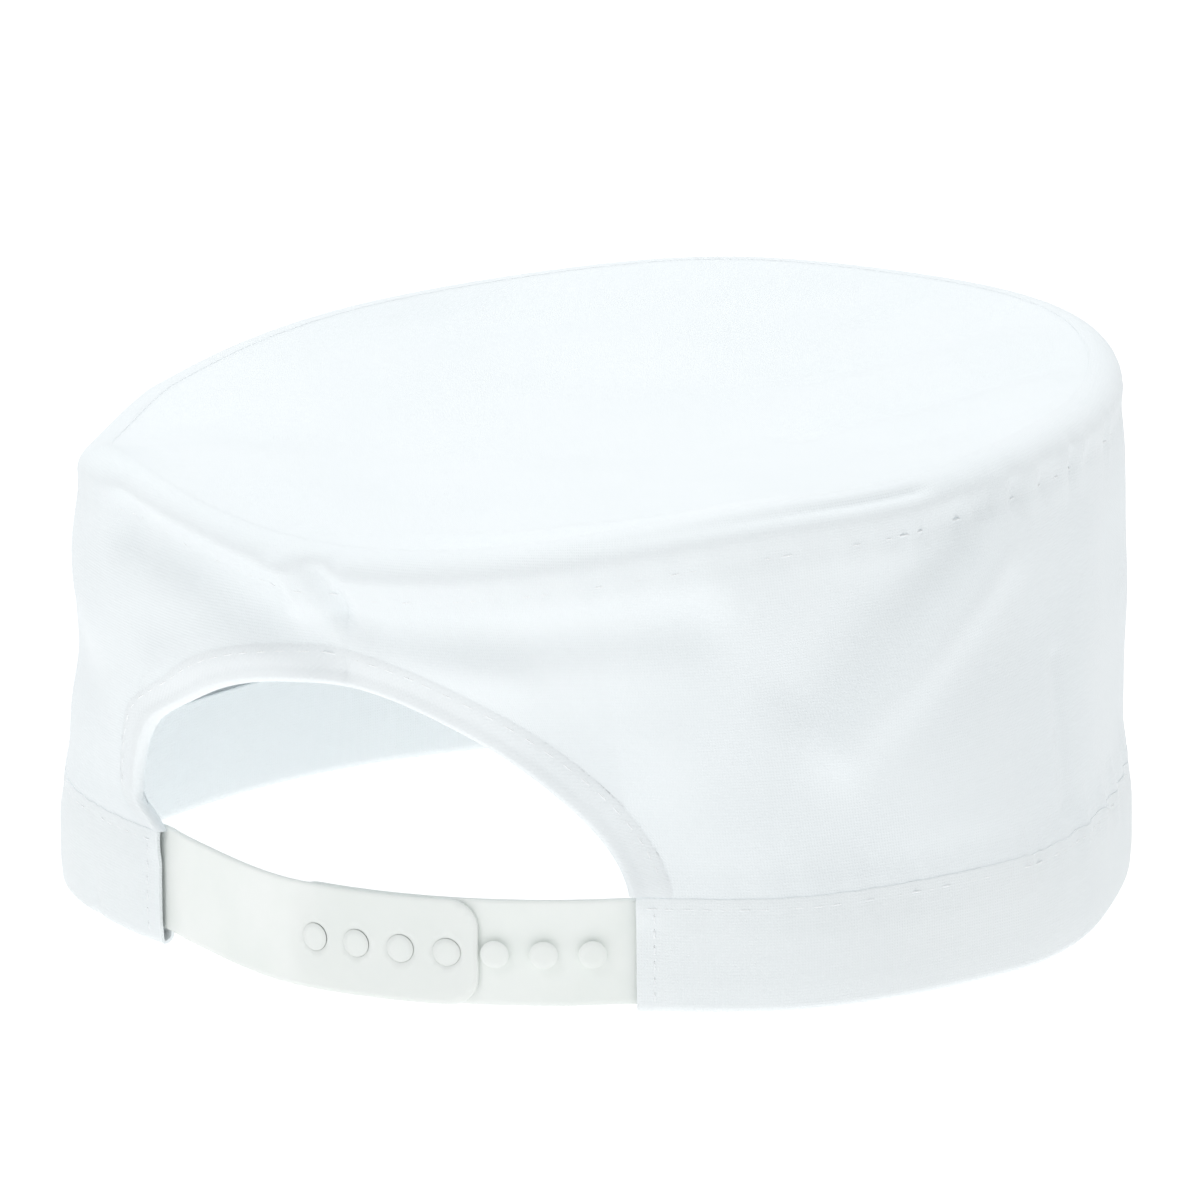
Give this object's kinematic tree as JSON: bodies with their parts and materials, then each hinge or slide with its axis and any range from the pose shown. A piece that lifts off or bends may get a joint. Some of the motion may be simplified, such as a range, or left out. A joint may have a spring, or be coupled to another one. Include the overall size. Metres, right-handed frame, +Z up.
{
  "type": "chef skull cap",
  "caption": "Low round white cotton chef cap with a flat crown, a folded headband and an arched back opening closed by a plastic snap strap.",
  "frame": {"origin": "Centre of the cap's bounding box at its base, on the plane of the headband's bottom edge", "axes": "+Z up through the crown, +Y towards the wearer's front, -Y towards the back opening, +X towards the wearer's right"},
  "size_m": [0.1808, 0.203, 0.0855],
  "materials": {
    "crown_cloth": "matte",
    "wall_cloth": "matte",
    "band_cloth": "matte",
    "interfacing": "matte",
    "binding_tape": "matte",
    "label_cloth": "satin",
    "thread": "satin",
    "strap_plastic": "satin"
  },
  "bodies": {
    "cap": {"crown_top": "crown_cloth", "side_wall": "wall_cloth", "back_seam_allowance": "wall_cloth", "headband": "band_cloth", "band_interfacing": "interfacing", "arch_binding": "binding_tape", "care_label": "label_cloth", "hole_strap_tab": "strap_plastic", "peg_strap_tab": "strap_plastic", "crown_topstitch": "thread", "band_topstitch": "thread", "arch_topstitch": "thread", "hole_strap_stitch": "thread", "peg_strap_stitch": "thread"},
    "hole_strap": {"hole_strap": "strap_plastic"},
    "peg_strap": {"peg_strap": "strap_plastic"}
  },
  "joints": [
    {"name": "hole_strap_bend", "type": "hinge", "parent": "cap", "child": "hole_strap", "pos_m": [-0.04404, -0.08077, 0.0101], "axis": [0, 0, -1], "range_deg": [0, 80], "stiffness_Nm_per_rad": 0.02},
    {"name": "peg_strap_bend", "type": "hinge", "parent": "cap", "child": "peg_strap", "pos_m": [0.04404, -0.08077, 0.0101], "axis": [0, 0, -1], "range_deg": [0, 50], "stiffness_Nm_per_rad": 0.02}
  ]
}
